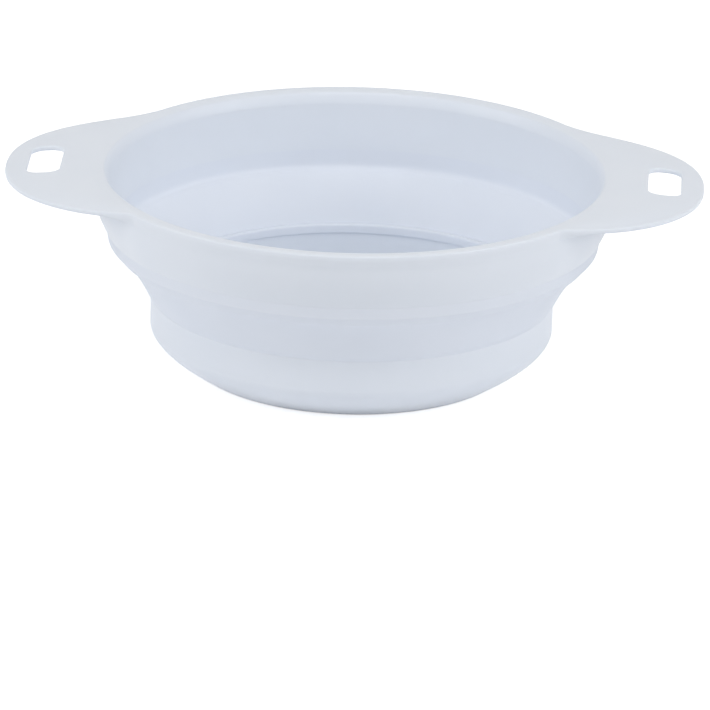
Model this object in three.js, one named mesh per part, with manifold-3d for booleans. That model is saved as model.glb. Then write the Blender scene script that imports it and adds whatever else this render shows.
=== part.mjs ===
// Collapsible colander, modelled open. Millimetres, +Z up, handles along X.
// The origin is on the table under the middle of the bowl.
import * as THREE from 'three';
import { mergeVertices } from 'three/addons/utils/BufferGeometryUtils.js';
import Module from 'manifold-3d';

// Rim and handles
const RIM_RADIUS = 121;
const RIM_PLATE = 2.4;
const RIM_OVERHANG = 1;
const RIM_EDGE_ROUND = 0.8;
const SHOULDER_WIDTH = 2.2;
const SHOULDER_DEPTH = 4.6;
const HANDLE_LENGTH = 38;
const HANDLE_HALF_SPAN = 80.7;
const HANDLE_FULLNESS = 2.48;
const HANDLE_SWEEP = 1.55;
const HANDLE_EDGE_DROP = 3.5;
const HANDLE_DROP_REACH = 8;
const HANG_HOLE_WIDTH = 14.8;
const HANG_HOLE_LENGTH = 36.8;
const HANG_HOLE_CORNER = 6.2;
const HANG_HOLE_TO_TIP = 10.6;

// Upper wall and the bead along its lower edge
const WALL_HEIGHT = 24.8;
const WALL_FLARE = 7.1;
const WALL_TOP_THICKNESS = 8.4;
const WALL_THICKNESS = 2.4;
const RIM_SKIRT = 3.6;
const RIM_LAP = 1.5;
const HEM_HEIGHT = 6;
const HEM_TAPER = 1.1;
const HEM_PROUD = 0.5;
const HEM_LAP = 2.2;
const HEM_ROUND = 0.6;

// Soft fold web between the hem and the bowl
const WEB_THICKNESS = 1.3;
const WEB_HEIGHT = 24.4;
const WEB_SPREAD = 17.4;
const WEB_KNEE_IN = 8.5;
const WEB_KNEE_DOWN = 7.7;
const WEB_TOP_LAP = 3;
const WEB_BOTTOM_LAP = 3.6;
const WEB_HEM_DROP = 0.8;

// Bowl, the bead along its upper edge and the strainer floor
const BOWL_STRAIGHT = 12.2;
const BOWL_WALL = 2;
const CHAMFER_WIDTH = 19.6;
const CHAMFER_HEIGHT = 18;
const CHAMFER_RUN = 5;
const CHAMFER_RISE = 3.4;
const CHAMFER_ROUND = 6;
const LIP_CAP = 1.3;
const LIP_PROUD = 0.7;
const LIP_SKIRT = 2.8;
const LIP_ROUND = 0.5;
const STANDING_WIDTH = 3.9;
const STANDING_LEDGE = 1;
const FLOOR_THICKNESS = 2.2;
const HOLE_DIAMETER = 3.2;
const HOLE_RING_PITCH = 9.4;
const HOLE_SPACING = 8.8;
const HOLE_TO_LEDGE = 1;

// Fits and facets
const CLEARANCE = 0.3;
const RING_SIDES = 48;
const RIM_SIDES = 96;
const HOLE_SIDES = 6;
const CURVE_STEPS = 6;
const FLANGE_STEPS = 3;
const CUT_MARGIN = 5;
const ROUNDING = 1e-3;

// Heights above the table
const bowlShoulder = CHAMFER_HEIGHT + BOWL_STRAIGHT;
const lipUnderside = bowlShoulder + CLEARANCE + LIP_SKIRT;
const lipTop = lipUnderside + LIP_CAP;
const hemBottom = lipTop + WEB_HEIGHT;
const hemTop = hemBottom + HEM_HEIGHT;
const rimUnderside = hemTop + WALL_HEIGHT;
const rimTop = rimUnderside + RIM_PLATE;
const rimSeam = rimUnderside - RIM_SKIRT;
const skirtBottom = rimSeam - RIM_LAP;

// Radii, from the rim inwards
const wallTopRadius = RIM_RADIUS - RIM_OVERHANG;
const wallInnerTop = wallTopRadius - WALL_TOP_THICKNESS;
const wallBottomRadius = wallTopRadius - WALL_FLARE;
const hemBottomRadius = wallBottomRadius - HEM_TAPER;
const hemInner = wallBottomRadius - WALL_THICKNESS - HEM_PROUD;
const webTopRadius = hemInner - CLEARANCE;
const webBottomInner = webTopRadius - WEB_SPREAD;
const bowlRadius = webBottomInner - CLEARANCE;
const bowlInner = bowlRadius - BOWL_WALL;
const standingRadius = bowlRadius - CHAMFER_WIDTH;
const ledgeRadius = standingRadius - STANDING_WIDTH;
const seatRadius = standingRadius + CLEARANCE;
const floorRadius = seatRadius - CLEARANCE;

// Height of the strainer floor on its ledge
const floorBottom = STANDING_LEDGE + CLEARANCE;
const seatTop = floorBottom + FLOOR_THICKNESS + CLEARANCE;

// Thickness of each half of the lap seams, and roundings limited by their walls
const rimLapHalf = (WALL_TOP_THICKNESS - CLEARANCE) / 2;
const hemLapHalf = (WALL_THICKNESS - CLEARANCE) / 2;
const lipLapHalf = (BOWL_WALL - CLEARANCE) / 2;
const rimEdgeRound = Math.min(RIM_EDGE_ROUND, RIM_PLATE / 3, RIM_OVERHANG / 2);
const shoulderWidth = Math.min(SHOULDER_WIDTH, WALL_TOP_THICKNESS / 2);
const shoulderDepth = Math.min(SHOULDER_DEPTH, RIM_PLATE + RIM_SKIRT);
const hemRound = Math.min(HEM_ROUND, (hemBottomRadius - hemInner) / 3);
const lipRound = Math.min(LIP_ROUND, LIP_CAP / 2);

const wasm = await Module();
wasm.setup();

const point = (r, z) => new THREE.Vector2(r, z);

// A ring turned about Z from a closed outline that runs anticlockwise in (radius, height).
function turned(outline, sides) {
  const geometry = new THREE.LatheGeometry([...outline, outline[0]], sides);
  geometry.rotateX(Math.PI / 2);
  return geometry;
}

// The same run of points moved sideways, to the left of its direction.
function beside(run, distance) {
  return run.map((p, i) => {
    const before = run[Math.max(i - 1, 0)];
    const after = run[Math.min(i + 1, run.length - 1)];
    const along = after.clone().sub(before).normalize();
    return point(p.x - along.y * distance, p.y + along.x * distance);
  });
}

function solidOf(geometry) {
  const bare = geometry.clone();
  bare.deleteAttribute('normal');
  bare.deleteAttribute('uv');
  const merged = mergeVertices(bare, 1e-4);
  const vertProperties = new Float32Array(merged.attributes.position.array);
  const triVerts = new Uint32Array(merged.index.array);
  return new wasm.Manifold(new wasm.Mesh({ numProp: 3, vertProperties, triVerts }));
}

function geometryOf(solid) {
  const { vertProperties, triVerts } = solid.getMesh();
  const geometry = new THREE.BufferGeometry();
  geometry.setAttribute('position', new THREE.BufferAttribute(vertProperties, 3));
  geometry.setIndex(new THREE.BufferAttribute(triVerts, 1));
  geometry.computeVertexNormals();
  return geometry;
}

function cut(geometry, cutters) {
  const solid = cutters.reduce((left, cutter) => left.subtract(solidOf(cutter)), solidOf(geometry));
  return geometryOf(solid);
}

// Outer radius of the upper wall: flared at the hem, upright at the rim.
function wallRadius(z) {
  const down = (rimUnderside - z) / WALL_HEIGHT;
  return wallTopRadius - WALL_FLARE * down * down;
}

// Plan outline of the rim and handles: each handle sweeps out of the rim and back into it.
function rimReach(angle) {
  const fromTip = Math.atan2(Math.abs(Math.sin(angle)), Math.abs(Math.cos(angle)));
  const share = Math.min(fromTip * RIM_RADIUS / HANDLE_HALF_SPAN, 1);
  return RIM_RADIUS + HANDLE_LENGTH * (1 - share ** HANDLE_FULLNESS) ** HANDLE_SWEEP;
}

// Draws the flange of a round rim out to the handles, with their edges turned down.
function drawOutHandles(geometry) {
  const flange = RIM_OVERHANG - rimEdgeRound;
  const positions = geometry.attributes.position;
  const at = new THREE.Vector3();
  for (let i = 0; i < positions.count; i += 1) {
    at.fromBufferAttribute(positions, i);
    const radius = Math.hypot(at.x, at.y);
    const out = radius - wallTopRadius;
    if (out > ROUNDING) {
      const widening = rimReach(Math.atan2(at.y, at.x)) - RIM_RADIUS;
      const share = Math.min(out / flange, 1);
      const drop = HANDLE_EDGE_DROP * widening / (widening + HANDLE_DROP_REACH);
      const stretch = (radius + widening * share) / radius;
      positions.setXYZ(i, at.x * stretch, at.y * stretch, at.z - drop * share ** 3);
    }
  }
  return geometry;
}

function hangHole(side) {
  const width = HANG_HOLE_WIDTH / 2;
  const length = HANG_HOLE_LENGTH / 2;
  const round = Math.min(HANG_HOLE_CORNER, width, length);
  const shape = new THREE.Shape();
  shape.moveTo(-width + round, -length);
  shape.lineTo(width - round, -length);
  shape.absarc(width - round, -length + round, round, -Math.PI / 2, 0);
  shape.lineTo(width, length - round);
  shape.absarc(width - round, length - round, round, 0, Math.PI / 2);
  shape.lineTo(-width + round, length);
  shape.absarc(-width + round, length - round, round, Math.PI / 2, Math.PI);
  shape.lineTo(-width, -length + round);
  shape.absarc(-width + round, -length + round, round, Math.PI, Math.PI * 1.5);
  const depth = RIM_PLATE + HANDLE_EDGE_DROP + 2 * CUT_MARGIN;
  const settings = { depth, bevelEnabled: false, curveSegments: CURVE_STEPS / 2 };
  const geometry = new THREE.ExtrudeGeometry(shape, settings);
  const middle = RIM_RADIUS + HANDLE_LENGTH - HANG_HOLE_TO_TIP - width;
  return geometry.translate(side * middle, 0, rimTop + CUT_MARGIN - depth);
}

function rimFrame() {
  const lapRadius = wallTopRadius - rimLapHalf;
  const flangeEnd = RIM_RADIUS - rimEdgeRound;
  const flange = [];
  for (let i = 0; i <= FLANGE_STEPS; i += 1) {
    flange.push(THREE.MathUtils.lerp(wallTopRadius, flangeEnd, i / FLANGE_STEPS));
  }
  const outline = [point(wallInnerTop, rimSeam), point(lapRadius, rimSeam)];
  outline.push(point(lapRadius, skirtBottom), point(wallTopRadius, skirtBottom));
  outline.push(...flange.map((r) => point(r, rimUnderside)));
  outline.push(point(RIM_RADIUS, rimUnderside + rimEdgeRound), point(RIM_RADIUS, rimTop - rimEdgeRound));
  outline.push(...flange.reverse().map((r) => point(r, rimTop)));
  for (let i = 0; i < CURVE_STEPS; i += 1) {
    const turn = (i / CURVE_STEPS) * Math.PI / 2;
    const r = wallInnerTop + shoulderWidth * (1 - Math.sin(turn));
    outline.push(point(r, rimTop - shoulderDepth * (1 - Math.cos(turn))));
  }
  const ring = drawOutHandles(turned(outline, RIM_SIDES));
  return cut(ring, [hangHole(1), hangHole(-1)]);
}

function upperWall() {
  const outerTop = skirtBottom - CLEARANCE;
  const innerTop = rimSeam - CLEARANCE;
  const lapRadius = wallTopRadius - rimLapHalf - CLEARANCE;
  const outer = [];
  for (let i = 0; i <= CURVE_STEPS; i += 1) {
    const z = THREE.MathUtils.lerp(hemTop + CLEARANCE, outerTop, i / CURVE_STEPS);
    outer.push(point(wallRadius(z), z));
  }
  const inner = outer[0].x - WALL_THICKNESS;
  const neck = inner + hemLapHalf;
  const lapEnd = hemTop - HEM_LAP;
  const outline = [point(inner, lapEnd), point(neck, lapEnd), point(neck, outer[0].y), ...outer];
  outline.push(point(lapRadius, outerTop), point(lapRadius, innerTop), point(wallInnerTop, innerTop));
  outline.push(point(inner, outer[0].y));
  return turned(outline, RING_SIDES);
}

function hemBead() {
  const lapRadius = wallRadius(hemTop + CLEARANCE) - hemLapHalf;
  const seam = hemTop - HEM_LAP - CLEARANCE;
  return turned([
    point(hemInner, hemBottom + hemRound),
    point(hemInner + hemRound, hemBottom),
    point(hemBottomRadius - hemRound, hemBottom),
    point(hemBottomRadius, hemBottom + hemRound),
    point(wallBottomRadius, hemTop),
    point(lapRadius, hemTop),
    point(lapRadius, seam),
    point(hemInner, seam),
  ], RING_SIDES);
}

function foldWeb() {
  const start = point(webTopRadius, hemBottom - WEB_HEM_DROP);
  const knee = point(start.x - WEB_KNEE_IN, start.y - WEB_KNEE_DOWN);
  const end = point(webBottomInner + WEB_THICKNESS, lipTop);
  const curve = new THREE.QuadraticBezierCurve(end, knee, start);
  const outer = curve.getPoints(CURVE_STEPS);
  const inner = beside(outer, WEB_THICKNESS);
  const top = hemBottom + WEB_TOP_LAP;
  const bottom = lipTop - WEB_BOTTOM_LAP;
  inner[0] = point(webBottomInner, inner[0].y);
  inner[CURVE_STEPS] = point(webTopRadius - WEB_THICKNESS, inner[CURVE_STEPS].y);
  const outline = [point(webBottomInner, bottom), point(end.x, bottom), ...outer];
  outline.push(point(webTopRadius, top), point(webTopRadius - WEB_THICKNESS, top));
  outline.push(...inner.reverse());
  return turned(outline, RING_SIDES);
}

function lipBead() {
  const inner = bowlInner - LIP_PROUD;
  const lapRadius = bowlInner + lipLapHalf;
  const skirtEnd = lipUnderside - LIP_SKIRT;
  return turned([
    point(inner, skirtEnd),
    point(lapRadius, skirtEnd),
    point(lapRadius, lipUnderside),
    point(bowlRadius, lipUnderside),
    point(bowlRadius, lipTop - lipRound),
    point(bowlRadius - lipRound, lipTop),
    point(inner + lipRound, lipTop),
    point(inner, lipTop - lipRound),
  ], RING_SIDES);
}

// Outside of the bowl's chamfer, from the standing ring up into the straight wall.
function chamferLine() {
  const low = point(standingRadius, 0);
  const high = point(bowlRadius, CHAMFER_HEIGHT);
  const fromLow = point(standingRadius + CHAMFER_RUN, CHAMFER_RISE);
  const toHigh = point(bowlRadius, CHAMFER_HEIGHT - CHAMFER_ROUND);
  return new THREE.CubicBezierCurve(low, fromLow, toHigh, high).getPoints(CURVE_STEPS);
}

function bowlWall() {
  const outer = chamferLine();
  const inner = beside(outer, BOWL_WALL).filter((p) => p.x > seatRadius && p.y > seatTop);
  const tongueTop = lipUnderside - CLEARANCE;
  const tongue = bowlRadius - lipLapHalf;
  const outline = [point(ledgeRadius, 0), ...outer];
  outline.push(point(bowlRadius, tongueTop), point(tongue, tongueTop));
  outline.push(point(tongue, bowlShoulder), point(bowlInner, bowlShoulder));
  outline.push(...inner.reverse());
  outline.push(point(seatRadius, seatTop), point(seatRadius, STANDING_LEDGE));
  outline.push(point(ledgeRadius, STANDING_LEDGE));
  return turned(outline, RING_SIDES);
}

function drainHoles() {
  const reach = ledgeRadius - HOLE_TO_LEDGE - HOLE_DIAMETER / 2;
  const rings = Math.floor(reach / HOLE_RING_PITCH);
  const depth = FLOOR_THICKNESS + 2 * CUT_MARGIN;
  const holes = [];
  for (let ring = 0; ring <= rings; ring += 1) {
    const radius = ring * HOLE_RING_PITCH;
    const count = Math.max(Math.round(2 * Math.PI * radius / HOLE_SPACING), 1);
    for (let i = 0; i < count; i += 1) {
      const hole = new THREE.CylinderGeometry(HOLE_DIAMETER / 2, HOLE_DIAMETER / 2, depth, HOLE_SIDES);
      hole.rotateX(Math.PI / 2);
      hole.translate(radius, 0, floorBottom + FLOOR_THICKNESS / 2);
      holes.push(hole.rotateZ((i / count) * 2 * Math.PI));
    }
  }
  return holes;
}

function strainerFloor() {
  const disc = new THREE.CylinderGeometry(floorRadius, floorRadius, FLOOR_THICKNESS, RING_SIDES);
  disc.rotateX(Math.PI / 2);
  disc.translate(0, 0, floorBottom + FLOOR_THICKNESS / 2);
  return cut(disc, drainHoles());
}

const plastic = (color, roughness) => new THREE.MeshStandardMaterial({ color, roughness, metalness: 0 });
const polypropylene = () => plastic(0xe4e8ef, 0.42);
const softRubber = () => plastic(0xe2e6ed, 0.55);

function piece(name, geometry, material) {
  const mesh = new THREE.Mesh(geometry, material);
  mesh.name = name;
  return mesh;
}

const rim = new THREE.Group();
rim.add(piece('rim_frame', rimFrame(), polypropylene()));
rim.add(piece('upper_wall', upperWall(), polypropylene()));
rim.add(piece('hem_bead', hemBead(), softRubber()));

const web = new THREE.Group();
web.add(piece('fold_web', foldWeb(), softRubber()));

const base = new THREE.Group();
base.add(piece('lip_bead', lipBead(), softRubber()));
base.add(piece('bowl_wall', bowlWall(), polypropylene()));
base.add(piece('strainer_floor', strainerFloor(), polypropylene()));

const colander = new THREE.Group();
colander.add(rim, web, base);

export default colander;
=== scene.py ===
"""Studio picture of a collapsible colander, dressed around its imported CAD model.

Sizes inside the classes are in millimetres, as on the maker's drawing. Meshes are in metres.
Radii are measured from the upright axis of the bowl, and heights from the table.
"""

from __future__ import annotations

import logging
import math
from collections.abc import Callable, Sequence
from dataclasses import dataclass, field
from enum import Enum

import bmesh
import bpy
from mathutils import Matrix, Vector
from mathutils.geometry import delaunay_2d_cdt

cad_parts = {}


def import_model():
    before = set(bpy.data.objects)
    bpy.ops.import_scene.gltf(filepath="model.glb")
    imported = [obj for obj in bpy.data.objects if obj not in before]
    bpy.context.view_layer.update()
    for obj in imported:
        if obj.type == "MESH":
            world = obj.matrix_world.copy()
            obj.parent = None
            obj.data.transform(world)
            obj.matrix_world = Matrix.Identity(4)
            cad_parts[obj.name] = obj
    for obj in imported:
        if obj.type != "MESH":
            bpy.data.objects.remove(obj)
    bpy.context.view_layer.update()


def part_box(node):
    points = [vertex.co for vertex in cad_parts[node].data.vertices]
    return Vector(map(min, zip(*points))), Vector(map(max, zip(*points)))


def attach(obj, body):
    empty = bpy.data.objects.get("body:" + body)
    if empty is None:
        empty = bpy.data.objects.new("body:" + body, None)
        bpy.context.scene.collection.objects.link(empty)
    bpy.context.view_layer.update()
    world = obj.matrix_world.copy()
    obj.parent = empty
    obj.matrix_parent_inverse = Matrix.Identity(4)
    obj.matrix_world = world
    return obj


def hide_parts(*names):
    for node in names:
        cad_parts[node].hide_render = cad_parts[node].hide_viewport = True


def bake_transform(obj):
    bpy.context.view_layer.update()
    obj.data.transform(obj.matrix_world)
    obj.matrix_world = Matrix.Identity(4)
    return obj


LOG = logging.getLogger("colander")
MM = 0.001

# Points of a mesh closer than this, in millimetres, are one point.
MERGE_DISTANCE = 1e-4
# Edges that turn by more than this many degrees stay sharp.
SHARP_ANGLE = 30
# Blender's code for triangles inside the given loops, and the tolerance of that triangulation.
TRIANGLES_INSIDE, PLAN_TOLERANCE = 1, 1e-6
# The colour sockets of Blender's mix node, by index because their names repeat.
MIX_A, MIX_B, MIX_RESULT = 6, 7, 2
# Octaves in the noise of the clouds, the polish and the grain, and the range that most noise lies in.
CLOUD_DETAIL, POLISH_DETAIL, GRAIN_DETAIL = 3.0, 4.0, 2.0
NOISE_LOW, NOISE_HIGH = 0.3, 0.7


class Body(Enum):
    """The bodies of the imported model."""

    BASE = "base"
    RIM = "rim"


class Slot(Enum):
    """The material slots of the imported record."""

    STIFF = "polypropylene"
    SOFT = "soft_tpr"


class Side(Enum):
    """The two handles, by the direction of the X axis that they lie on."""

    RIGHT = 1
    LEFT = -1


class Face(Enum):
    """The two faces of the rim plate."""

    UPPER = "upper"
    UNDERSIDE = "underside"


def linear(hex_colour: str) -> tuple[float, float, float, float]:
    """Turn an sRGB hex colour into a linear one.

    Args:
        hex_colour: Six hex digits after a hash sign.

    Returns:
        Red, green, blue and an alpha of one.
    """
    channels = []
    for start in (1, 3, 5):
        value = int(hex_colour[start:start + 2], 16) / 255
        channels.append(value / 12.92 if value <= 0.04045 else ((value + 0.055) / 1.055) ** 2.4)
    return (*channels, 1.0)


def add_node(
    tree: bpy.types.NodeTree,
    kind: str,
    inputs: dict[str | int, object] | None = None,
    **settings: object,
) -> bpy.types.Node:
    """Add a node to a tree, with its settings, values and links.

    Args:
        tree: The node tree.
        kind: Blender's name for the type of node.
        inputs: Input name or index to a value, or to the output socket that feeds it.
        settings: Properties of the node itself.

    Returns:
        The new node.
    """
    node = tree.nodes.new(kind)
    for name, value in settings.items():
        setattr(node, name, value)
    for name, value in (inputs or {}).items():
        if isinstance(value, bpy.types.NodeSocket):
            tree.links.new(value, node.inputs[name])
        else:
            node.inputs[name].default_value = value
    return node


@dataclass(frozen=True)
class MouldedFinish:
    """The look of one moulded plastic.

    A moulding is never one flat colour: the melt leaves faint clouds of tone where it flowed, the tool's
    eroded skin leaves a fine grain, and handling polishes some patches more than others.
    """

    name: str
    colour: str
    cloud_colour: str
    ior: float
    roughness_low: float
    roughness_high: float
    grain_mm: float
    grain_depth_mm: float
    grain_strength: float
    cloud_mm: float
    polish_mm: float
    glow: float
    glow_depth_mm: float

    def material(self) -> bpy.types.Material:
        """Build the node material.

        Returns:
            The material, with all its patterns on Object coordinates.
        """
        made = bpy.data.materials.new(self.name)
        made.use_nodes = True
        tree = made.node_tree
        tree.nodes.clear()
        place = add_node(tree, "ShaderNodeTexCoord").outputs["Object"]
        cloud = add_node(tree, "ShaderNodeTexNoise",
                         {"Vector": place, "Scale": 1 / (self.cloud_mm * MM), "Detail": CLOUD_DETAIL})
        tone = add_node(tree, "ShaderNodeMix",
                        {"Factor": cloud.outputs["Fac"], MIX_A: linear(self.colour),
                         MIX_B: linear(self.cloud_colour)}, data_type="RGBA")
        polish = add_node(tree, "ShaderNodeTexNoise",
                          {"Vector": place, "Scale": 1 / (self.polish_mm * MM), "Detail": POLISH_DETAIL})
        rough = add_node(tree, "ShaderNodeMapRange",
                         {"Value": polish.outputs["Fac"], "From Min": NOISE_LOW, "From Max": NOISE_HIGH,
                          "To Min": self.roughness_low, "To Max": self.roughness_high})
        grain = add_node(tree, "ShaderNodeTexNoise",
                         {"Vector": place, "Scale": 1 / (self.grain_mm * MM), "Detail": GRAIN_DETAIL})
        bump = add_node(tree, "ShaderNodeBump",
                        {"Height": grain.outputs["Fac"], "Strength": self.grain_strength,
                         "Distance": self.grain_depth_mm * MM})
        plastic = add_node(tree, "ShaderNodeBsdfPrincipled",
                           {"Base Color": tone.outputs[MIX_RESULT], "Roughness": rough.outputs["Result"],
                            "IOR": self.ior, "Normal": bump.outputs["Normal"],
                            "Subsurface Weight": self.glow, "Subsurface Scale": self.glow_depth_mm * MM})
        plastic.inputs["Subsurface Radius"].default_value = (1.0, 1.0, 1.0)
        add_node(tree, "ShaderNodeOutputMaterial", {"Surface": plastic.outputs["BSDF"]})
        return made


# Injection moulded polypropylene: milky, cool white and satin, with the tool's fine eroded grain.
# The real grain is about 0.2 mm, too fine to show, so it is drawn at 0.9 mm.
POLYPROPYLENE = MouldedFinish(
    name="polypropylene_moulded_satin", colour="#EBF0F8", cloud_colour="#E7EDF6", ior=1.49,
    roughness_low=0.36, roughness_high=0.48, grain_mm=0.9, grain_depth_mm=0.05, grain_strength=0.12,
    cloud_mm=38, polish_mm=21, glow=0.12, glow_depth_mm=0.5,
)

# Moulded thermoplastic rubber: the same white, but dull and soft to the eye, with a velvety fine grain.
# The real grain is about 0.1 mm, too fine to show, so it is drawn at 0.7 mm.
SOFT_RUBBER = MouldedFinish(
    name="thermoplastic_rubber_moulded_matt", colour="#EAEFF8", cloud_colour="#E6ECF6", ior=1.5,
    roughness_low=0.5, roughness_high=0.62, grain_mm=0.7, grain_depth_mm=0.05, grain_strength=0.1,
    cloud_mm=30, polish_mm=16, glow=0.0, glow_depth_mm=1.8,
)


@dataclass(frozen=True)
class Corner:
    """A corner of a turned outline, with the fillet that rounds it."""

    radius: float
    height: float
    fillet: float = 0.0


Outline = list[tuple[float, float]]


def quadratic(start: Vector, pull: Vector, end: Vector, steps: int) -> list[Vector]:
    """Sample a quadratic curve.

    Args:
        start: The first point.
        pull: The point that the curve bends towards.
        end: The last point.
        steps: The number of spans.

    Returns:
        The points, with both ends.
    """
    points = []
    for i in range(steps + 1):
        t = i / steps
        points.append(start * (1 - t) ** 2 + pull * (2 * t * (1 - t)) + end * t ** 2)
    return points


def cubic(start: Vector, leave: Vector, arrive: Vector, end: Vector, steps: int) -> list[Vector]:
    """Sample a cubic curve.

    Args:
        start: The first point.
        leave: The point that the curve leaves towards.
        arrive: The point that it arrives from.
        end: The last point.
        steps: The number of spans.

    Returns:
        The points, with both ends.
    """
    points = []
    for i in range(steps + 1):
        t = i / steps
        s = 1 - t
        points.append(start * s ** 3 + leave * (3 * s * s * t) + arrive * (3 * s * t * t) + end * t ** 3)
    return points


def beside(run: Sequence[Vector], distance: float) -> list[Vector]:
    """Move a run of points sideways, to the left of its direction.

    Args:
        run: The points.
        distance: How far they move.

    Returns:
        The moved points.
    """
    moved = []
    for i, here in enumerate(run):
        along = (run[min(i + 1, len(run) - 1)] - run[max(i - 1, 0)]).normalized()
        moved.append(here + Vector((-along.y, along.x)) * distance)
    return moved


def as_corners(run: Sequence[Vector]) -> list[Corner]:
    """Turn the points of a smooth curve into corners with no fillet."""
    return [Corner(p.x, p.y) for p in run]


def filleted(
    corners: Sequence[Corner], arc_steps: int = 5, longest: float = 1.2, most_trim: float = 0.45
) -> Outline:
    """Round the corners of a closed outline and divide its long sides.

    Args:
        corners: The corners in order.
        arc_steps: The number of spans in a fillet.
        longest: The longest side left undivided.
        most_trim: The largest share of a side that a fillet takes up.

    Returns:
        Radius and height of each point.
    """
    rounded: list[Vector] = []
    for i, corner in enumerate(corners):
        here = Vector((corner.radius, corner.height))
        if corner.fillet == 0:
            rounded.append(here)
            continue
        before, after = corners[i - 1], corners[(i + 1) % len(corners)]
        back = Vector((before.radius, before.height)) - here
        ahead = Vector((after.radius, after.height)) - here
        room = most_trim * min(back.length, ahead.length)
        trim = min(corner.fillet / math.tan(back.angle(ahead) / 2), room)
        begin, finish = here + back.normalized() * trim, here + ahead.normalized() * trim
        rounded += quadratic(begin, here, finish, arc_steps)
    outline: Outline = []
    for i, here in enumerate(rounded):
        side = rounded[(i + 1) % len(rounded)] - here
        parts = max(math.ceil(side.length / longest), 1)
        outline += [tuple(here + side * (k / parts)) for k in range(parts)]
    return outline


def finished_object(name: str, mesh: bmesh.types.BMesh, material: bpy.types.Material) -> bpy.types.Object:
    """Turn a mesh in millimetres into a smooth object in metres, at the origin.

    Args:
        name: The piece's name.
        mesh: The mesh, which is freed.
        material: Its finish.

    Returns:
        The object, linked to the scene.
    """
    bmesh.ops.remove_doubles(mesh, verts=mesh.verts, dist=MERGE_DISTANCE)
    bmesh.ops.recalc_face_normals(mesh, faces=mesh.faces)
    bmesh.ops.scale(mesh, vec=Vector((MM, MM, MM)), verts=mesh.verts)
    for face in mesh.faces:
        face.smooth = True
    data = bpy.data.meshes.new(name)
    mesh.to_mesh(data)
    mesh.free()
    data.set_sharp_from_angle(angle=math.radians(SHARP_ANGLE))
    data.materials.append(material)
    made = bpy.data.objects.new(name, data)
    bpy.context.scene.collection.objects.link(made)
    return made


def add_strip(mesh: bmesh.types.BMesh, rows: Sequence[Sequence[Vector]], closed_rows: bool) -> None:
    """Join rows of points by quads. Each row is a closed loop of points.

    Args:
        mesh: The mesh that gets the faces.
        rows: The loops, all with as many points.
        closed_rows: Whether the last loop is joined to the first.
    """
    made = [[mesh.verts.new(p) for p in row] for row in rows]
    pairs = list(zip(made, made[1:]))
    if closed_rows:
        pairs.append((made[-1], made[0]))
    for low, high in pairs:
        for k in range(len(low)):
            after = (k + 1) % len(low)
            mesh.faces.new((low[k], low[after], high[after], high[k]))


def turned(outline: Outline, sides: int) -> list[list[Vector]]:
    """Turn an outline about the upright axis.

    Args:
        outline: Radius and height of each point.
        sides: The number of sides in a full turn.

    Returns:
        One loop of points for each point of the outline.
    """
    turns = [2 * math.pi * k / sides for k in range(sides)]
    return [[Vector((r * math.cos(a), r * math.sin(a), z)) for a in turns] for r, z in outline]


@dataclass(frozen=True)
class Levels:
    """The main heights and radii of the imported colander."""

    rim_top: float
    rim_radius: float
    handle_tip: float
    skirt_bottom: float
    hem_top: float
    hem_bottom: float
    hem_radius: float
    web_radius: float
    lip_top: float
    bowl_radius: float
    floor_bottom: float
    floor_top: float
    floor_radius: float

    @classmethod
    def from_frame(cls) -> Levels:
        """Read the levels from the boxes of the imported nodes."""
        rim_low, rim_high = (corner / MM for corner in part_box("rim_frame"))
        hem_low, hem_high = (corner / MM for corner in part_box("hem_bead"))
        web_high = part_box("fold_web")[1] / MM
        lip_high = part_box("lip_bead")[1] / MM
        floor_low, floor_high = (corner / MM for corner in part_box("strainer_floor"))
        return cls(
            rim_top=rim_high.z, rim_radius=rim_high.y, handle_tip=rim_high.x, skirt_bottom=rim_low.z,
            hem_top=hem_high.z, hem_bottom=hem_low.z, hem_radius=hem_high.y, web_radius=web_high.y,
            lip_top=lip_high.z, bowl_radius=lip_high.y,
            floor_bottom=floor_low.z, floor_top=floor_high.z, floor_radius=floor_high.y,
        )


@dataclass
class Piece:
    """What every piece of the colander has: the levels that it follows, and its place in the model."""

    levels: Levels
    material: bpy.types.Material
    sides: int = 288

    def settle(self, made: bpy.types.Object, node: str, body: Body, slot: Slot) -> bpy.types.Object:
        """Let a finished piece ride on its body in place of its CAD node.

        Args:
            made: The piece.
            node: The CAD node that it stands for.
            body: The body that it moves with.
            slot: The record's material slot; not used.

        Returns:
            The piece.
        """
        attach(made, body.value)
        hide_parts(node)
        return made

    def turned_piece(self, name: str, corners: Sequence[Corner]) -> bpy.types.Object:
        """Turn a closed outline into a ring.

        Args:
            name: The piece's name.
            corners: The outline's corners.

        Returns:
            The object.
        """
        mesh = bmesh.new()
        add_strip(mesh, turned(filleted(corners), self.sides), closed_rows=True)
        return finished_object(name, mesh, self.material)


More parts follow.
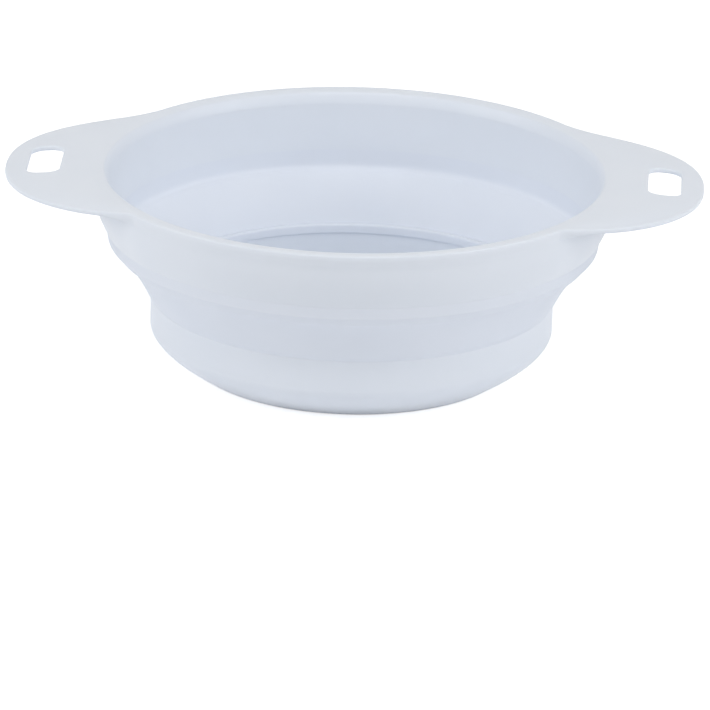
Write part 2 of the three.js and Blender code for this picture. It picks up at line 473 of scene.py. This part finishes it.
@dataclass
class UpperWall(Piece):
    """The flared wall ring under the rim."""

    overhang: float = 1.0
    plate: float = 2.4
    skirt: float = 3.6
    flare: float = 7.1
    top_thickness: float = 8.2
    thickness: float = 3.6
    lap: float = 2.2
    seam: float = 0.01
    curve_steps: int = 30

    @property
    def rim_underside(self) -> float:
        """Height of the rim plate's underside."""
        return self.levels.rim_top - self.plate

    @property
    def top_radius(self) -> float:
        """Outer radius under the rim."""
        return self.levels.rim_radius - self.overhang

    def radius_at(self, height: float) -> float:
        """Outer radius of the wall: flared at the hem, upright at the rim."""
        down = (self.rim_underside - height) / (self.rim_underside - self.levels.hem_top)
        return self.top_radius - self.flare * down * down

    @property
    def inner_bottom(self) -> float:
        """Inner radius at the hem."""
        return self.radius_at(self.levels.hem_top) - self.thickness

    @property
    def inner_lean(self) -> float:
        """How far the inner face leans out for each millimetre of height."""
        inner_top = self.top_radius - self.top_thickness
        return (inner_top - self.inner_bottom) / (self.rim_underside - self.skirt - self.levels.hem_top)

    def corners(self) -> list[Corner]:
        """Lay out the wall's section.

        Returns:
            The corners, anticlockwise from the lower inner edge.
        """
        low, high = self.levels.hem_top + self.seam, self.levels.skirt_bottom - self.seam
        inner_top = self.rim_underside - self.skirt - self.seam
        outer = []
        for i in range(self.curve_steps + 1):
            z = low + (high - low) * i / self.curve_steps
            outer.append(Corner(self.radius_at(z), z))
        neck = self.inner_bottom + self.thickness / 2
        lap_end = self.levels.hem_top - self.lap
        tongue = self.top_radius - self.top_thickness / 2 - self.seam
        start = [Corner(self.inner_bottom, lap_end), Corner(neck, lap_end), Corner(neck, low)]
        end = [Corner(tongue, high), Corner(tongue, inner_top)]
        inner = [Corner(self.top_radius - self.top_thickness, inner_top), Corner(self.inner_bottom, low)]
        return [*start, *outer, *end, *inner]

    def build(self) -> bpy.types.Object:
        """Make the ring."""
        made = self.turned_piece("upper_wall_ring", self.corners())
        return self.settle(made, "upper_wall", Body.RIM, Slot.STIFF)


@dataclass
class RimFrame(Piece):
    """The rim plate with both handles and the skirt that laps over the wall: one moulding."""

    sides: int = 840
    wall: UpperWall = field(kw_only=True)
    edge_round: float = 0.85
    edge_steps: int = 8
    cove_depth: float = 3.4
    cove_reach: float = 11
    crown: float = 0.6
    shoulder_width: float = 2.5
    shoulder_ease: float = 0.32
    shoulder_steps: int = 16
    crown_steps: int = 8
    skirt_steps: int = 4
    handle_half_span: float = 80.7
    handle_fullness: float = 2.48
    handle_sweep: float = 1.55
    handle_edge_drop: float = 3.5
    handle_drop_reach: float = 8
    hole_width: float = 14.8
    hole_length: float = 36.8
    hole_corner: float = 6.2
    hole_to_tip: float = 10.6
    hole_steps: int = 12
    grid: float = 2.2
    join_margin: float = 0.01

    def reach(self, angle: float) -> float:
        """Plan outline of the rim and handles: each handle sweeps out of the rim and back into it."""
        from_tip = math.atan2(abs(math.sin(angle)), abs(math.cos(angle)))
        share = min(from_tip * self.levels.rim_radius / self.handle_half_span, 1.0)
        length = self.levels.handle_tip - self.levels.rim_radius
        return self.levels.rim_radius + length * (1 - share ** self.handle_fullness) ** self.handle_sweep

    def top(self, x: float, y: float) -> float:
        """Height of the plate's upper face: flat on the rim, turned down towards the handles' edges."""
        widening = self.reach(math.atan2(y, x)) - self.levels.rim_radius
        span = self.wall.overhang / 2 + widening
        share = min(max((math.hypot(x, y) - self.wall.top_radius) / span, 0.0), 1.0)
        drop = self.handle_edge_drop * widening / (widening + self.handle_drop_reach)
        return self.levels.rim_top - drop * share ** 3

    def cove(self, x: float, y: float) -> float:
        """Share of the hollow moulding that eases the plate's underside into the wall: 1 at the wall."""
        away = (math.hypot(x, y) - self.wall.top_radius) / self.cove_reach
        return min(max(1 - away, 0.0), 1.0) ** 2

    def outer_edge(self) -> list[tuple[Vector, Vector]]:
        """Lay out the outer edge of the rim and handles.

        Returns:
            Place and outward direction of each point, in plan.
        """
        step = 2 * math.pi / self.sides
        places = []
        for k in range(self.sides):
            angle = k * step
            reach = self.reach(angle)
            places.append(Vector((math.cos(angle), math.sin(angle))) * reach)
        edge = []
        for k, place in enumerate(places):
            along = places[(k + 1) % self.sides] - places[k - 1]
            edge.append((place, Vector((along.y, -along.x)).normalized()))
        return edge

    def hole_edge(self, side: Side) -> list[tuple[Vector, Vector]]:
        """Lay out the edge of a hang hole: a rectangle with round corners.

        Args:
            side: The handle.

        Returns:
            Place of each point and its direction into the hole, in plan.
        """
        middle = Vector((side.value * (self.levels.handle_tip - self.hole_to_tip - self.hole_width / 2), 0.0))
        across = self.hole_width / 2 - self.hole_corner
        along = self.hole_length / 2 - self.hole_corner
        corners = ((across, along), (-across, along), (-across, -along), (across, -along))
        edge = []
        for turn, (x, y) in enumerate(corners):
            for k in range(self.hole_steps + 1):
                angle = (turn + k / self.hole_steps) * math.pi / 2
                out = Vector((math.cos(angle), math.sin(angle)))
                edge.append((middle + Vector((x, y)) + out * self.hole_corner, -out))
        full = []
        for k, (place, direction) in enumerate(edge):
            side_run = edge[(k + 1) % len(edge)][0] - place
            parts = max(round(side_run.length / self.grid), 1)
            full += [(place + side_run * (i / parts), direction) for i in range(parts)]
        return full

    def hole_distance(self, place: Vector) -> float:
        """Distance in plan from a place to the nearest hang hole's edge, negative inside the hole."""
        middle = self.levels.handle_tip - self.hole_to_tip - self.hole_width / 2
        across = abs(abs(place.x) - middle) - self.hole_width / 2 + self.hole_corner
        along = abs(place.y) - self.hole_length / 2 + self.hole_corner
        inside = min(max(across, along), 0.0)
        return math.hypot(max(across, 0.0), max(along, 0.0)) + inside - self.hole_corner

    def rounded_edge(self, mesh: bmesh.types.BMesh, edge: Sequence[tuple[Vector, Vector]]) -> list[Vector]:
        """Close the plate along an edge with two rounded arrises.

        Where the edge is close to the wall, the lower arris runs down into the wall in one soft sweep.

        Args:
            mesh: The mesh that gets the faces.
            edge: Place and outward direction of each point, in plan.

        Returns:
            The loop where the flat faces of the plate end, in plan.
        """
        size = self.edge_round
        loop = [place - direction * size for place, direction in edge]
        upper, lower = [], []
        for k in range(self.edge_steps + 1):
            share = k / self.edge_steps
            sine, cosine = math.sin(math.pi / 2 * share), math.cos(math.pi / 2 * share)
            upper_row, lower_row = [], []
            for (place, direction), flat in zip(edge, loop):
                top = self.top(flat.x, flat.y)
                sweep = self.cove(flat.x, flat.y)
                spot = place - direction * (size * (1 - sine))
                upper_row.append(Vector((spot.x, spot.y, top - size * (1 - cosine))))
                inward = (1 - sweep) * (1 - cosine) + sweep * share * share * (3 - 2 * share)
                fall = (size + self.cove_depth * sweep) * ((1 - sweep) * sine + sweep * share)
                spot = place - direction * (size * inward)
                lower_row.append(Vector((spot.x, spot.y, top - self.wall.plate + size - fall)))
            upper.append(upper_row)
            lower.append(lower_row)
        add_strip(mesh, upper + lower, closed_rows=False)
        return loop

    def inner_points(self) -> list[Vector]:
        """Scatter a grid of points over the flat of the handles, clear of every edge."""
        points = []
        columns = math.ceil(self.levels.handle_tip / self.grid)
        rows = math.ceil(self.handle_half_span / self.grid)
        for i in range(-columns, columns + 1):
            for j in range(-rows, rows + 1):
                place = Vector((i, j + 0.5 * (i % 2))) * self.grid
                edge = self.reach(math.atan2(place.y, place.x))
                room = min(edge - place.length, place.length - self.levels.rim_radius)
                if min(room, self.hole_distance(place)) > self.grid:
                    points.append(place)
        return points

    def plate_face(self, mesh: bmesh.types.BMesh, loops: Sequence[Sequence[Vector]], face: Face) -> None:
        """Fill one face of the plate between its edges.

        Args:
            mesh: The mesh that gets the faces.
            loops: The outer loop, the inner loop and the loops of the holes, in plan.
            face: The upper face or the underside.
        """
        points, edges = [], []
        for loop in loops:
            first = len(points)
            points += loop
            edges += [(first + k, first + (k + 1) % len(loop)) for k in range(len(loop))]
        points += self.inner_points()
        flat, _, triangles, *_ = delaunay_2d_cdt(points, edges, [], TRIANGLES_INSIDE, PLAN_TOLERANCE)
        inside = max(p.length for p in loops[1]) + self.join_margin
        made = []
        for p in flat:
            drop = 0.0 if face is Face.UPPER else self.wall.plate + self.cove_depth * self.cove(p.x, p.y)
            made.append(mesh.verts.new((p.x, p.y, self.top(p.x, p.y) - drop)))
        for triangle in triangles:
            centre = sum((flat[k] for k in triangle), Vector((0.0, 0.0))) / len(triangle)
            beyond = max(flat[k].length for k in triangle) > inside
            if beyond and self.hole_distance(centre) > self.edge_round:
                mesh.faces.new([made[k] for k in triangle])

    def skirt_run(self) -> Outline:
        """Lay out the section from the plate's upper face over the shoulder and round the skirt.

        Returns:
            Radius and height of each point, down the inside and up the outside.
        """
        wall = self.wall
        inner = wall.top_radius - wall.top_thickness
        outer = wall.top_radius - self.edge_round
        seam = wall.rim_underside - wall.skirt
        brow = Vector((inner + self.shoulder_width, self.levels.rim_top - self.crown))
        foot = Vector((inner, seam))
        run = []
        for k in range(self.crown_steps):
            share = k / self.crown_steps
            run.append((outer + (brow.x - outer) * share, self.levels.rim_top - self.crown * share * share))
        leave = Vector((1.0, 2 * self.crown / (outer - brow.x))) * (self.shoulder_width * self.shoulder_ease)
        arrive = Vector((wall.inner_lean, 1.0)) * ((brow.y - seam) * self.shoulder_ease)
        shoulder = cubic(brow, brow - leave, foot + arrive, foot, self.shoulder_steps)
        run += [(point.x, point.y) for point in shoulder]
        lap = wall.top_radius - wall.top_thickness / 2
        bottom = self.levels.skirt_bottom
        run += [(lap, seam), (lap, bottom), (wall.radius_at(bottom), bottom)]
        cove_end = wall.rim_underside - self.cove_depth
        for k in range(1, self.skirt_steps + 1):
            z = bottom + (cove_end - bottom) * k / self.skirt_steps
            run.append((wall.radius_at(z), z))
        return run

    def build(self) -> bpy.types.Object:
        """Make the rim and its handles."""
        mesh = bmesh.new()
        outer = self.rounded_edge(mesh, self.outer_edge())
        holes = [self.rounded_edge(mesh, self.hole_edge(side)) for side in Side]
        rows = turned(self.skirt_run(), self.sides)
        add_strip(mesh, rows, closed_rows=False)
        for row, face in ((rows[0], Face.UPPER), (rows[-1], Face.UNDERSIDE)):
            self.plate_face(mesh, [outer, [p.xy for p in row], *holes], face)
        made = finished_object("rim_and_handles", mesh, self.material)
        return self.settle(made, "rim_frame", Body.RIM, Slot.STIFF)


@dataclass
class HemBead(Piece):
    """The soft bead along the lower edge of the upper wall: the outer fold."""

    wall: UpperWall = field(kw_only=True)
    taper: float = 1.1
    edge_round: float = 0.7
    seam_round: float = 0.03

    def build(self) -> bpy.types.Object:
        """Make the bead."""
        levels = self.levels
        inner = self.wall.inner_bottom
        lap = inner + self.wall.thickness / 2
        seam = levels.hem_top - self.wall.lap - self.wall.seam
        made = self.turned_piece("hem_bead_ring", [
            Corner(inner, levels.hem_bottom, self.edge_round),
            Corner(levels.hem_radius - self.taper, levels.hem_bottom, self.edge_round),
            Corner(levels.hem_radius, levels.hem_top, self.seam_round),
            Corner(lap, levels.hem_top),
            Corner(lap, seam),
            Corner(inner, seam),
        ])
        return self.settle(made, "hem_bead", Body.RIM, Slot.SOFT)


@dataclass
class FoldWeb(Piece):
    """The thin soft wall between the hem and the bowl, which turns inside out as the rim goes down."""

    thickness: float = 1.3
    spread: float = 17.4
    fold_in: float = 1.4
    fold_down: float = 3.7
    fold_out: float = 1.2
    knee_in: float = 7.1
    knee_down: float = 4.8
    hinge: float = 0.8
    wall: UpperWall = field(kw_only=True)
    bottom_lap: float = 2.1
    feather: float = 0.03
    fold_round: float = 2.2
    fold_steps: int = 4
    curve_steps: int = 44

    def corners(self) -> list[Corner]:
        """Lay out the web's section, with both laps feathered out against their neighbours.

        Returns:
            The corners, anticlockwise from the lower end.
        """
        levels = self.levels
        foot = levels.web_radius - self.spread
        end = Vector((foot + self.thickness, levels.lip_top))
        start = Vector((levels.web_radius - self.fold_in, levels.hem_bottom - self.fold_down))
        knee = start - Vector((self.knee_in, self.knee_down))
        outer = quadratic(end, knee, start, self.curve_steps)
        inner = beside(outer, self.thickness)[1:-self.fold_steps]
        bottom, top = levels.lip_top - self.bottom_lap, levels.hem_top
        brim = Vector((self.wall.inner_bottom - 2 * self.feather, top))
        valley = start + Vector((self.hinge / 2, self.hinge))
        above = valley + (brim - valley).normalized() * self.fold_round
        inner += quadratic(inner[-1], valley, above, self.fold_steps)[1:]
        seat = levels.bowl_radius + self.feather
        section = [Corner(seat, bottom), Corner(seat + self.feather, bottom), *as_corners(outer)]
        under_hem = levels.hem_bottom - self.feather
        lap = brim.x + self.feather
        section.append(Corner(levels.web_radius + self.fold_out, under_hem))
        section += [Corner(lap, under_hem), Corner(lap, top), Corner(brim.x, brim.y)]
        section += [*as_corners(list(reversed(inner))), Corner(seat, levels.lip_top)]
        return section

    def build(self) -> bpy.types.Object:
        """Make the web in place of its CAD node, fixed where it is built and tied to neither body."""
        made = self.turned_piece("fold_web_skin", self.corners())
        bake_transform(made)
        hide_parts("fold_web")
        return made


@dataclass
class BowlWall(Piece):
    """The rigid bowl with its chamfer and standing ring."""

    thickness: float = 2.0
    straight: float = 12.2
    chamfer_width: float = 19.6
    chamfer_height: float = 18
    chamfer_run: float = 5
    chamfer_rise: float = 3.4
    chamfer_round: float = 6
    standing_width: float = 3.9
    ledge: float = 1.0
    seam: float = 0.12
    tongue_drop: float = 1.4
    inner_foot_round: float = 0.4
    outer_foot_round: float = 1.2
    shoulder_round: float = 0.2
    seat_round: float = 0.1
    ledge_round: float = 0.2
    curve_steps: int = 36
    foot_steps: int = 2

    @property
    def shoulder(self) -> float:
        """Height of the step that the lip bead sits on."""
        return self.chamfer_height + self.straight

    @property
    def inner(self) -> float:
        """Inner radius of the upright wall."""
        return self.levels.bowl_radius - self.thickness

    def build(self) -> bpy.types.Object:
        """Make the bowl."""
        levels = self.levels
        standing = levels.bowl_radius - self.chamfer_width
        outer = cubic(
            Vector((standing, 0.0)),
            Vector((standing + self.chamfer_run, self.chamfer_rise)),
            Vector((levels.bowl_radius, self.chamfer_height - self.chamfer_round)),
            Vector((levels.bowl_radius, self.chamfer_height)),
            self.curve_steps,
        )
        seat = levels.floor_radius + self.seam
        seat_top = levels.floor_top + self.seam
        inner = [p for p in beside(outer, self.thickness) if p.y > seat_top and p.x > seat]
        tongue_top = levels.lip_top - self.tongue_drop
        tongue = levels.bowl_radius - self.thickness / 2
        made = self.turned_piece("bowl_shell", [
            Corner(standing - self.standing_width, 0.0, self.inner_foot_round),
            Corner(standing, 0.0, self.outer_foot_round),
            *as_corners(outer[self.foot_steps:]),
            Corner(levels.bowl_radius, tongue_top),
            Corner(tongue, tongue_top),
            Corner(tongue, self.shoulder),
            Corner(self.inner, self.shoulder, self.shoulder_round),
            *as_corners(list(reversed(inner))),
            Corner(seat, seat_top, self.seat_round),
            Corner(seat, self.ledge),
            Corner(standing - self.standing_width, self.ledge, self.ledge_round),
        ])
        return self.settle(made, "bowl_wall", Body.BASE, Slot.STIFF)


@dataclass
class LipBead(Piece):
    """The soft bead that caps the bowl's upper edge: the inner fold."""

    bowl: BowlWall = field(kw_only=True)
    proud: float = 0.7
    cap: float = 1.3
    edge_round: float = 0.55
    foot_round: float = 0.35
    brow: float = 2.2

    def build(self) -> bpy.types.Object:
        """Make the bead."""
        levels, bowl = self.levels, self.bowl
        inner = bowl.inner - self.proud
        lap = levels.bowl_radius - bowl.thickness / 2 - bowl.seam
        underside = levels.lip_top - self.cap
        made = self.turned_piece("lip_bead_ring", [
            Corner(inner, bowl.shoulder + bowl.seam, self.foot_round),
            Corner(lap, bowl.shoulder + bowl.seam),
            Corner(lap, underside),
            Corner(levels.bowl_radius, underside),
            Corner(levels.bowl_radius, levels.lip_top, self.edge_round),
            Corner(inner, levels.lip_top, self.brow),
        ])
        return self.settle(made, "lip_bead", Body.BASE, Slot.SOFT)


@dataclass
class StrainerFloor(Piece):
    """The disc in the bottom of the bowl, drilled with rings of drain holes."""

    sides: int = 192
    hole_diameter: float = 3.2
    ring_pitch: float = 9.4
    hole_spacing: float = 8.8
    rings: int = 7
    hole_sides: int = 20
    flare: float = 0.3
    cutter_segments: int = 24
    edge_round: float = 0.3
    edge_steps: int = 3
    sharp_angle: float = 20

    def disc(self) -> bpy.types.Object:
        """Make the blank disc, with rounded edges and one flat face above and below."""
        levels = self.levels
        size = self.edge_round
        quarter = [math.pi / 2 * k / self.edge_steps for k in range(self.edge_steps + 1)]
        flat, low, high = levels.floor_radius - size, levels.floor_bottom + size, levels.floor_top - size
        run = [(flat + size * math.sin(a), low - size * math.cos(a)) for a in quarter]
        run += [(flat + size * math.cos(a), high + size * math.sin(a)) for a in quarter]
        mesh = bmesh.new()
        rows = turned(run, self.sides)
        add_strip(mesh, rows, closed_rows=False)
        for row in (rows[0], rows[-1]):
            mesh.faces.new([mesh.verts.new(p) for p in row])
        return finished_object("strainer_disc", mesh, self.material)

    def hole_tree(self) -> bpy.types.NodeTree:
        """Build the Geometry Nodes tree that drills the drain holes.

        Returns:
            The tree, with named inputs in metres.
        """
        tree = bpy.data.node_groups.new("drain_holes", "GeometryNodeTree")
        face = tree.interface
        face.new_socket("Geometry", in_out="INPUT", socket_type="NodeSocketGeometry")
        lengths = ("Hole Radius", "Hole Depth", "Hole Flare", "Ring Pitch", "Hole Spacing", "Middle Height")
        for name in lengths:
            face.new_socket(name, in_out="INPUT", socket_type="NodeSocketFloat")
        for name in ("Rings", "Hole Sides"):
            face.new_socket(name, in_out="INPUT", socket_type="NodeSocketInt")
        face.new_socket("Finish", in_out="INPUT", socket_type="NodeSocketMaterial")
        face.new_socket("Geometry", in_out="OUTPUT", socket_type="NodeSocketGeometry")
        given = add_node(tree, "NodeGroupInput").outputs
        centres = self.hole_centres(tree, given)
        cutter = self.hole_cutter(tree, given)
        placed = add_node(tree, "GeometryNodeInstanceOnPoints", {"Points": centres, "Instance": cutter})
        real = add_node(tree, "GeometryNodeRealizeInstances", {"Geometry": placed.outputs["Instances"]})
        drilled = add_node(tree, "GeometryNodeMeshBoolean",
                           {"Mesh 1": given["Geometry"], "Mesh 2": real.outputs["Geometry"]},
                           operation="DIFFERENCE", solver="EXACT")
        whole = add_node(tree, "GeometryNodeRealizeInstances", {"Geometry": drilled.outputs["Mesh"]})
        dressed = add_node(tree, "GeometryNodeSetMaterial",
                           {"Geometry": whole.outputs["Geometry"], "Material": given["Finish"]})
        add_node(tree, "NodeGroupOutput", {"Geometry": dressed.outputs["Geometry"]})
        return tree

    def hole_centres(self, tree: bpy.types.NodeTree, given: bpy.types.NodeInputs) -> bpy.types.NodeSocket:
        """Add the nodes that lay out the rings of hole centres, with one hole in the middle.

        Args:
            tree: The tree.
            given: The tree's inputs.

        Returns:
            The socket that gives the points.
        """
        middle = add_node(tree, "GeometryNodePoints", {"Count": 1})
        start = add_node(tree, "GeometryNodeRepeatInput", {"Iterations": given["Rings"]})
        finish = add_node(tree, "GeometryNodeRepeatOutput")
        start.pair_with_output(finish)
        tree.links.new(middle.outputs["Points"], start.inputs["Geometry"])
        ring = add_node(tree, "ShaderNodeMath", {0: start.outputs["Iteration"], 1: 1.0}, operation="ADD")
        radius = add_node(tree, "ShaderNodeMath",
                          {0: ring.outputs["Value"], 1: given["Ring Pitch"]}, operation="MULTIPLY")
        around = add_node(tree, "ShaderNodeMath",
                          {0: radius.outputs["Value"], 1: 2 * math.pi}, operation="MULTIPLY")
        share = add_node(tree, "ShaderNodeMath",
                         {0: around.outputs["Value"], 1: given["Hole Spacing"]}, operation="DIVIDE")
        count = add_node(tree, "ShaderNodeMath", {0: share.outputs["Value"]}, operation="ROUND")
        circle = add_node(tree, "GeometryNodeMeshCircle",
                          {"Vertices": count.outputs["Value"], "Radius": radius.outputs["Value"]})
        points = add_node(tree, "GeometryNodeMeshToPoints", {"Mesh": circle.outputs["Mesh"]})
        joined = add_node(tree, "GeometryNodeJoinGeometry")
        tree.links.new(start.outputs["Geometry"], joined.inputs["Geometry"])
        tree.links.new(points.outputs["Points"], joined.inputs["Geometry"])
        tree.links.new(joined.outputs["Geometry"], finish.inputs["Geometry"])
        return finish.outputs["Geometry"]

    def hole_cutter(self, tree: bpy.types.NodeTree, given: bpy.types.NodeInputs) -> bpy.types.NodeSocket:
        """Add the nodes that make one cutter, flared at the disc's two faces.

        Args:
            tree: The tree.
            given: The tree's inputs.

        Returns:
            The socket that gives the cutter.
        """
        length = add_node(tree, "ShaderNodeMath", {0: given["Hole Depth"], 1: 2.0}, operation="MULTIPLY")
        drill = add_node(tree, "GeometryNodeMeshCylinder",
                         {"Vertices": given["Hole Sides"], "Side Segments": self.cutter_segments,
                          "Radius": given["Hole Radius"], "Depth": length.outputs["Value"]})
        place = add_node(tree, "GeometryNodeInputPosition")
        axes = add_node(tree, "ShaderNodeSeparateXYZ", {"Vector": place.outputs["Position"]})
        away = add_node(tree, "ShaderNodeMath", {0: axes.outputs["Z"]}, operation="ABSOLUTE")
        half = add_node(tree, "ShaderNodeMath", {0: given["Hole Depth"], 1: 0.5}, operation="MULTIPLY")
        begin = add_node(tree, "ShaderNodeMath",
                         {0: half.outputs["Value"], 1: given["Hole Flare"]}, operation="SUBTRACT")
        widest = add_node(tree, "ShaderNodeMath",
                          {0: given["Hole Flare"], 1: given["Hole Radius"]}, operation="DIVIDE")
        grow = add_node(tree, "ShaderNodeMapRange",
                        {"Value": away.outputs["Value"], "From Min": begin.outputs["Value"],
                         "From Max": half.outputs["Value"], "To Min": 0.0, "To Max": widest.outputs["Value"]})
        flat = add_node(tree, "ShaderNodeCombineXYZ", {"X": axes.outputs["X"], "Y": axes.outputs["Y"]})
        offset = add_node(tree, "ShaderNodeVectorMath",
                          {0: flat.outputs["Vector"], "Scale": grow.outputs["Result"]}, operation="SCALE")
        flared = add_node(tree, "GeometryNodeSetPosition",
                          {"Geometry": drill.outputs["Mesh"], "Offset": offset.outputs["Vector"]})
        rise = add_node(tree, "ShaderNodeCombineXYZ", {"Z": given["Middle Height"]})
        raised = add_node(tree, "GeometryNodeTransform",
                          {"Geometry": flared.outputs["Geometry"], "Translation": rise.outputs["Vector"]})
        return raised.outputs["Geometry"]

    def build(self) -> bpy.types.Object:
        """Make the disc and drill it."""
        levels = self.levels
        disc = self.disc()
        tree = self.hole_tree()
        drill = disc.modifiers.new("drain_holes", "NODES")
        drill.node_group = tree
        values = {
            "Hole Radius": self.hole_diameter / 2 * MM,
            "Hole Depth": (levels.floor_top - levels.floor_bottom) * MM,
            "Hole Flare": self.flare * MM,
            "Ring Pitch": self.ring_pitch * MM,
            "Hole Spacing": self.hole_spacing * MM,
            "Middle Height": (levels.floor_top + levels.floor_bottom) / 2 * MM,
            "Rings": self.rings,
            "Hole Sides": self.hole_sides,
            "Finish": self.material,
        }
        for socket in tree.interface.items_tree:
            if socket.in_out == "INPUT" and socket.name in values:
                drill[socket.identifier] = values[socket.name]
        graph = bpy.context.evaluated_depsgraph_get()
        mesh = bpy.data.meshes.new_from_object(disc.evaluated_get(graph))
        disc.modifiers.remove(drill)
        disc.data = mesh
        mesh.name = disc.name = "strainer_floor_disc"
        mesh.set_sharp_from_angle(angle=math.radians(self.sharp_angle))
        return self.settle(disc, "strainer_floor", Body.BASE, Slot.STIFF)


def direction(azimuth: float, elevation: float) -> Vector:
    """Point from the colander towards a viewer.

    Args:
        azimuth: Degrees round the colander, 0 in front of it.
        elevation: Degrees above the horizon.

    Returns:
        A unit vector.
    """
    a, e = math.radians(azimuth), math.radians(elevation)
    return Vector((math.sin(a) * math.cos(e), -math.cos(a) * math.cos(e), math.sin(e)))


@dataclass(frozen=True)
class Softbox:
    """A soft square lamp that faces the colander."""

    name: str
    azimuth: float
    elevation: float
    distance: float
    size: float
    power: float

    def hang(self, aim: Vector) -> None:
        """Hang the lamp in the studio.

        Args:
            aim: The point that it faces.
        """
        lamp = bpy.data.lights.new(self.name, "AREA")
        lamp.shape = "SQUARE"
        lamp.size = self.size
        lamp.energy = self.power
        made = bpy.data.objects.new(self.name, lamp)
        back = direction(self.azimuth, self.elevation)
        made.location = aim + back * self.distance
        made.rotation_euler = (-back).to_track_quat("-Z", "Y").to_euler()
        bpy.context.scene.collection.objects.link(made)


@dataclass(frozen=True)
class Studio:
    """Camera, soft light and pale floor. Distances are in metres."""

    aim: Vector = field(default_factory=lambda: Vector((0.0, 0.0, 0.05)))
    aim_pixel: tuple[float, float] = (352.7, 256.5)
    image_size: float = 710
    azimuth: float = 2.38
    elevation: float = 19.31
    roll: float = 1.34
    distance: float = 3.5
    lens_mm: float = 388.8
    sensor_mm: float = 36
    farthest: float = 100
    floor_size: float = 12
    floor_colour: str = "#F2F3F5"
    floor_lift: float = 0.62
    sky_colour: str = "#FFFFFF"
    sky_strength: float = 0.377
    lamps: tuple[Softbox, ...] = (
        Softbox("right_softbox", azimuth=70, elevation=28, distance=2.4, size=1.6, power=18.8),
        Softbox("left_softbox", azimuth=-70, elevation=28, distance=2.4, size=1.6, power=17.8),
        Softbox("front_softbox", azimuth=0, elevation=64, distance=2.6, size=1.2, power=12.6),
    )

    def set_camera(self) -> None:
        """Put the camera where the photograph's was, turned so that the colander lies high in the frame."""
        lens = bpy.data.cameras.new("studio_camera")
        lens.lens, lens.sensor_width = self.lens_mm, self.sensor_mm
        lens.clip_end = self.farthest
        camera = bpy.data.objects.new("studio_camera", lens)
        back = direction(self.azimuth, self.elevation)
        pixels = self.lens_mm / self.sensor_mm * self.image_size
        right, down = (p - self.image_size / 2 for p in self.aim_pixel)
        turn = (-back).to_track_quat("-Z", "Y").to_matrix().to_4x4()
        turn @= Matrix.Rotation(math.radians(self.roll), 4, "Z")
        turn @= Matrix.Rotation(math.atan(down / pixels), 4, "X")
        turn @= Matrix.Rotation(math.atan(right / pixels), 4, "Y")
        camera.matrix_world = Matrix.Translation(self.aim + back * self.distance) @ turn
        bpy.context.scene.collection.objects.link(camera)
        bpy.context.scene.camera = camera

    def seen_directly(self, tree: bpy.types.NodeTree) -> bpy.types.NodeSocket:
        """Add the nodes that tell the camera's, mirrored and see-through rays from the rest.

        Args:
            tree: The material's or the world's tree.

        Returns:
            The socket that is 1 for those rays.
        """
        ray = add_node(tree, "ShaderNodeLightPath").outputs
        either = add_node(tree, "ShaderNodeMath",
                          {0: ray["Is Camera Ray"], 1: ray["Is Glossy Ray"]}, operation="MAXIMUM")
        any_of = add_node(tree, "ShaderNodeMath",
                          {0: either.outputs["Value"], 1: ray["Is Transmission Ray"]}, operation="MAXIMUM")
        return any_of.outputs["Value"]

    def lay_floor(self) -> None:
        """Lay the pale floor, which looks white to the camera except where the colander shades it."""
        made = bpy.data.materials.new("studio_floor")
        made.use_nodes = True
        tree = made.node_tree
        tree.nodes.clear()
        lift = add_node(tree, "ShaderNodeMath",
                        {0: self.seen_directly(tree), 1: self.floor_lift}, operation="MULTIPLY")
        paint = add_node(tree, "ShaderNodeBsdfDiffuse", {"Color": linear(self.floor_colour)})
        glow = add_node(tree, "ShaderNodeEmission", {"Strength": lift.outputs["Value"]})
        both = add_node(tree, "ShaderNodeAddShader", {0: paint.outputs["BSDF"], 1: glow.outputs["Emission"]})
        add_node(tree, "ShaderNodeOutputMaterial", {"Surface": both.outputs["Shader"]})
        mesh = bmesh.new()
        bmesh.ops.create_grid(mesh, x_segments=1, y_segments=1, size=self.floor_size / 2)
        data = bpy.data.meshes.new("studio_floor")
        mesh.to_mesh(data)
        mesh.free()
        data.materials.append(made)
        floor = bpy.data.objects.new("studio_floor", data)
        bpy.context.scene.collection.objects.link(floor)

    def light(self) -> None:
        """Hang the lamps and set the sky: plain white light, and white where it is seen."""
        world = bpy.data.worlds.new("studio_sky")
        bpy.context.scene.world = world
        world.use_nodes = True
        tree = world.node_tree
        tree.nodes.clear()
        strength = add_node(tree, "ShaderNodeMapRange",
                            {"Value": self.seen_directly(tree), "To Min": self.sky_strength, "To Max": 1.0})
        sky = add_node(tree, "ShaderNodeBackground",
                       {"Color": linear(self.sky_colour), "Strength": strength.outputs["Result"]})
        add_node(tree, "ShaderNodeOutputWorld", {"Surface": sky.outputs["Background"]})
        for lamp in self.lamps:
            lamp.hang(self.aim)

    def set_up(self) -> None:
        """Set up the whole studio."""
        bpy.context.scene.view_settings.view_transform = "Standard"
        self.set_camera()
        self.lay_floor()
        self.light()


def main() -> None:
    """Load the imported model, set up the studio and make every piece."""
    logging.basicConfig(level=logging.INFO)
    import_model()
    Studio().set_up()
    levels = Levels.from_frame()
    stiff, soft = POLYPROPYLENE.material(), SOFT_RUBBER.material()
    wall = UpperWall(levels, stiff)
    bowl = BowlWall(levels, stiff)
    assemblies: list[Callable[[], bpy.types.Object]] = [
        RimFrame(levels, stiff, wall=wall).build,
        wall.build,
        HemBead(levels, soft, wall=wall).build,
        FoldWeb(levels, soft, wall=wall).build,
        LipBead(levels, soft, bowl=bowl).build,
        bowl.build,
        StrainerFloor(levels, stiff).build,
    ]
    for build in assemblies:
        piece = build()
        LOG.info("%s: %d faces", piece.name, len(piece.data.polygons))


if __name__ == "__main__":
    main()
